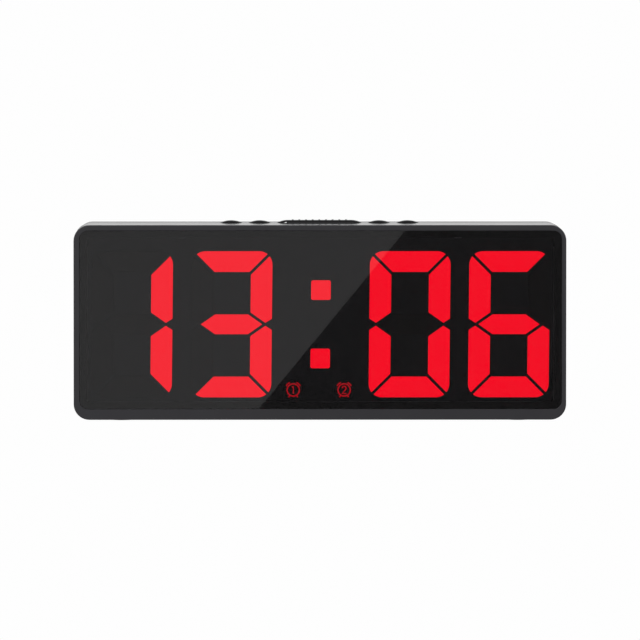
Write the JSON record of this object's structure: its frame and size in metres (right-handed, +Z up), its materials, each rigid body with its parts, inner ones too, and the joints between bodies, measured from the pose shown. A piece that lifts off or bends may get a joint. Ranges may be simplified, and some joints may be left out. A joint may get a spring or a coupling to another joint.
{
  "type": "digital alarm clock",
  "caption": "Low, wide desk alarm clock with a large red four-digit LED display behind a smoked lens, top snooze bar and buttons, and a rear battery bay.",
  "frame": {"origin": "on the table, under the middle of the case", "axes": "+X to the right of someone facing the clock, -Y out of its front, +Z up"},
  "size_m": [0.154, 0.038, 0.0622],
  "materials": {
    "frame_abs": "satin moulded ABS",
    "housing_abs": "gloss moulded ABS",
    "lens_acrylic": "smoked acrylic sheet, polished",
    "foam_tape": "black foam tape",
    "mask_film": "matt black",
    "diffuser_red": "milky plastic lit by red chips",
    "reflector_plastic": "matt white",
    "circuit_board": "green solder mask on glass-fibre board",
    "component_black": "moulded epoxy and nylon",
    "plated_steel": "nickel plated",
    "button_plastic": "polished black ABS",
    "wire_red": "PVC insulation",
    "wire_black": "PVC insulation",
    "ribbon_cable": "grey PVC ribbon",
    "cell_sleeve": "shrink-wrapped printed sleeve",
    "foot_rubber": "soft black rubber"
  },
  "bodies": {
    "case": {"front_frame": "frame_abs", "rear_housing": "housing_abs", "front_lens": "lens_acrylic", "lens_tape": "foam_tape", "segment_mask": "mask_film", "digit_1_diffuser": "diffuser_red", "digit_2_diffuser": "diffuser_red", "digit_3_diffuser": "diffuser_red", "digit_4_diffuser": "diffuser_red", "centre_diffuser": "diffuser_red", "reflector_frame": "reflector_plastic", "display_board": "circuit_board", "key_board": "circuit_board", "power_board": "circuit_board", "driver_chip": "component_black", "capacitor": "component_black", "sounder": "component_black", "set_switch": "component_black", "alarm_switch": "component_black", "down_switch": "component_black", "up_switch": "component_black", "snooze_switch": "component_black", "crystal": "plated_steel", "power_socket": "plated_steel", "positive_contact": "plated_steel", "negative_contact": "plated_steel", "left_bridge_contact": "plated_steel", "right_bridge_contact": "plated_steel", "board_screw_1": "plated_steel", "board_screw_2": "plated_steel", "board_screw_3": "plated_steel", "board_screw_4": "plated_steel", "key_board_screw_1": "plated_steel", "key_board_screw_2": "plated_steel", "case_screw_1": "plated_steel", "case_screw_2": "plated_steel", "case_screw_3": "plated_steel", "case_screw_4": "plated_steel", "battery_lead_red": "wire_red", "battery_lead_black": "wire_black", "power_lead": "wire_black", "key_ribbon": "ribbon_cable", "battery_cell_1": "cell_sleeve", "battery_cell_2": "cell_sleeve", "battery_cell_3": "cell_sleeve", "foot_1": "foot_rubber", "foot_2": "foot_rubber", "foot_3": "foot_rubber", "foot_4": "foot_rubber"},
    "set_key": {"set_button": "button_plastic", "set_plunger": "component_black"},
    "alarm_key": {"alarm_button": "button_plastic", "alarm_plunger": "component_black"},
    "down_key": {"down_button": "button_plastic", "down_plunger": "component_black"},
    "up_key": {"up_button": "button_plastic", "up_plunger": "component_black"},
    "snooze_key": {"snooze_bar": "button_plastic", "snooze_plunger": "component_black"},
    "door": {"battery_door": "housing_abs"}
  },
  "joints": [
    {"name": "set_press", "type": "slide", "parent": "case", "child": "set_key", "axis": [0, 0, -1], "range_m": [0, 0.0005], "stiffness_N_per_m": 600, "springref_m": -0.0015},
    {"name": "alarm_press", "type": "slide", "parent": "case", "child": "alarm_key", "axis": [0, 0, -1], "range_m": [0, 0.0005], "stiffness_N_per_m": 600, "springref_m": -0.0015},
    {"name": "down_press", "type": "slide", "parent": "case", "child": "down_key", "axis": [0, 0, -1], "range_m": [0, 0.0005], "stiffness_N_per_m": 600, "springref_m": -0.0015},
    {"name": "up_press", "type": "slide", "parent": "case", "child": "up_key", "axis": [0, 0, -1], "range_m": [0, 0.0005], "stiffness_N_per_m": 600, "springref_m": -0.0015},
    {"name": "snooze_press", "type": "slide", "parent": "case", "child": "snooze_key", "axis": [0, 0, -1], "range_m": [0, 0.0005], "stiffness_N_per_m": 600, "springref_m": -0.0015},
    {"name": "door_tilt", "type": "hinge", "parent": "case", "child": "door", "pos_m": [0, 0.0188, 0.0107], "axis": [-1, 0, 0], "range_deg": [0, 75]}
  ]
}
